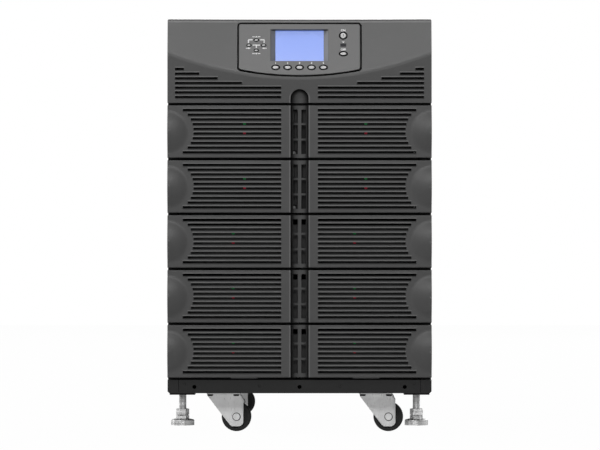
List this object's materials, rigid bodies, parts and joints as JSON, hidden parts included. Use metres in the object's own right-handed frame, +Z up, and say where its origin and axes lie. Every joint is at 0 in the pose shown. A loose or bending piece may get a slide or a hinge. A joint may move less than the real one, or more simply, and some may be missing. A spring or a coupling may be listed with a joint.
{
  "type": "modular ups cabinet",
  "caption": "Free-standing modular power cabinet with louvred row bezels over paired modules, a control head with display and keys, swivel casters and front levelling feet.",
  "frame": {"origin": "centre of the footprint at floor level, under the wheels", "axes": "+X to the right seen from the front, +Y from the front to the rear, +Z up"},
  "size_m": [0.44, 0.7, 0.691],
  "materials": {
    "bezel_plastic": "fine moulded texture, charcoal grey",
    "panel_plastic": "satin mid grey",
    "screen": "backlit blue display behind a clear window",
    "key_rubber": "matt light grey rubber",
    "dark_lens": "smoked lens",
    "green_light": "lit green lens",
    "red_light": "red lens",
    "module_paint": "grey powder coat",
    "chassis_paint": "black textured powder coat",
    "black_steel": "black oxide",
    "zinc_steel": "zinc plated pressed steel",
    "wheel_rubber": "dark grey solid rubber",
    "gland_rubber": "black grommet rubber"
  },
  "bodies": {
    "cabinet": {"base_front_rail": "chassis_paint", "base_tray": "chassis_paint", "battery_module_1_left": "module_paint", "battery_module_1_right": "module_paint", "battery_module_2_left": "module_paint", "battery_module_2_right": "module_paint", "battery_module_3_left": "module_paint", "battery_module_3_right": "module_paint", "bay_divider": "chassis_paint", "cable_entry_plate": "chassis_paint", "cable_glands": "gland_rubber", "caster_plates": "zinc_steel", "control_bezel": "bezel_plastic", "control_bulkhead": "chassis_paint", "control_panel": "panel_plastic", "display_screen": "screen", "foot_plates": "black_steel", "green_status_lights": "green_light", "left_side_panel": "chassis_paint", "navigation_keys": "key_rubber", "power_module_4_left": "module_paint", "power_module_4_right": "module_paint", "power_module_5_left": "module_paint", "power_module_5_right": "module_paint", "rear_panel": "chassis_paint", "red_status_lights": "red_light", "right_side_panel": "chassis_paint", "row_bezel_1": "bezel_plastic", "row_bezel_2": "bezel_plastic", "row_bezel_3": "bezel_plastic", "row_bezel_4": "bezel_plastic", "row_bezel_5": "bezel_plastic", "soft_keys": "key_rubber", "start_key": "key_rubber", "status_lens": "dark_lens", "stop_key": "key_rubber", "top_panel": "chassis_paint"},
    "front_left_fork": {"front_left_caster_fork": "zinc_steel"},
    "front_left_wheel": {"front_left_caster_wheel": "wheel_rubber"},
    "front_right_fork": {"front_right_caster_fork": "zinc_steel"},
    "front_right_wheel": {"front_right_caster_wheel": "wheel_rubber"},
    "rear_left_fork": {"rear_left_caster_fork": "zinc_steel"},
    "rear_left_wheel": {"rear_left_caster_wheel": "wheel_rubber"},
    "rear_right_fork": {"rear_right_caster_fork": "zinc_steel"},
    "rear_right_wheel": {"rear_right_caster_wheel": "wheel_rubber"},
    "left_foot": {"left_levelling_foot": "zinc_steel"},
    "right_foot": {"right_levelling_foot": "zinc_steel"}
  },
  "joints": [
    {"name": "front_left_swivel", "type": "hinge", "parent": "cabinet", "child": "front_left_fork", "pos_m": [-0.128, -0.26, 0.0638], "axis": [0, 0, 1], "continuous": true},
    {"name": "front_left_roll", "type": "hinge", "parent": "front_left_fork", "child": "front_left_wheel", "pos_m": [-0.1063, -0.26, 0.025], "axis": [0, 1, 0], "continuous": true},
    {"name": "front_right_swivel", "type": "hinge", "parent": "cabinet", "child": "front_right_fork", "pos_m": [0.128, -0.26, 0.0638], "axis": [0, 0, 1], "continuous": true},
    {"name": "front_right_roll", "type": "hinge", "parent": "front_right_fork", "child": "front_right_wheel", "pos_m": [0.1497, -0.26, 0.025], "axis": [0, 1, 0], "continuous": true},
    {"name": "rear_left_swivel", "type": "hinge", "parent": "cabinet", "child": "rear_left_fork", "pos_m": [-0.128, 0.24, 0.0638], "axis": [0, 0, 1], "continuous": true},
    {"name": "rear_left_roll", "type": "hinge", "parent": "rear_left_fork", "child": "rear_left_wheel", "pos_m": [-0.1063, 0.24, 0.025], "axis": [0, 1, 0], "continuous": true},
    {"name": "rear_right_swivel", "type": "hinge", "parent": "cabinet", "child": "rear_right_fork", "pos_m": [0.128, 0.24, 0.0638], "axis": [0, 0, 1], "continuous": true},
    {"name": "rear_right_roll", "type": "hinge", "parent": "rear_right_fork", "child": "rear_right_wheel", "pos_m": [0.1497, 0.24, 0.025], "axis": [0, 1, 0], "continuous": true},
    {"name": "left_foot_screw", "type": "slide", "parent": "cabinet", "child": "left_foot", "axis": [0, 0, -1], "range_m": [-0.005, 0.015]},
    {"name": "right_foot_screw", "type": "slide", "parent": "cabinet", "child": "right_foot", "axis": [0, 0, -1], "range_m": [-0.005, 0.015]}
  ]
}
